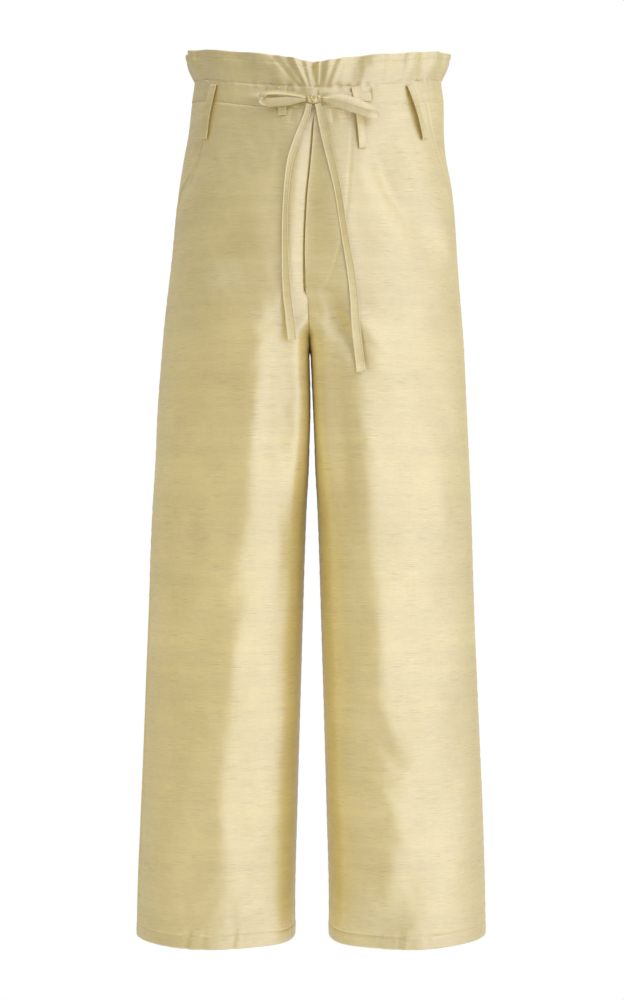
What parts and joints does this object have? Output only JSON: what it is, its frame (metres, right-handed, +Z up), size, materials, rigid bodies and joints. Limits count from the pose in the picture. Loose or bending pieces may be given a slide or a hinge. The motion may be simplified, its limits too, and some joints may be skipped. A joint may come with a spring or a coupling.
{
  "type": "straight-leg trousers with a drawstring paper-bag waist",
  "caption": "Full-length straight-leg trousers with a gathered heading above a casing, a drawstring tied in a bow, belt loops and a fly front, filled out as worn.",
  "frame": {"origin": "centre of the waist opening, at the level of the drawstring casing at the side seams, where the wearer's waist holds the garment", "axes": "+Z up the body, -Y to the front, +X to the wearer's left"},
  "size_m": [0.4175, 0.2419, 1.057],
  "materials": {
    "silk": "slubbed silk with a soft sheen",
    "tape_silk": "the same silk, cut as narrow tape, with a soft sheen"
  },
  "bodies": {
    "root": {"right_front": "silk", "left_front": "silk", "right_back": "silk", "left_back": "silk", "waistband": "silk", "belt_loop_right_outer": "silk", "belt_loop_right_inner": "silk", "belt_loop_left_inner": "silk", "belt_loop_left_outer": "silk", "belt_loop_back_right": "silk", "belt_loop_back_left": "silk", "drawstring_strand_right": "tape_silk", "drawstring_strand_left": "tape_silk", "bow_loop_right": "tape_silk", "bow_loop_left": "tape_silk", "drawstring_tail_right": "tape_silk", "drawstring_tail_left": "tape_silk", "drawstring_knot": "tape_silk"}
  },
  "joints": []
}
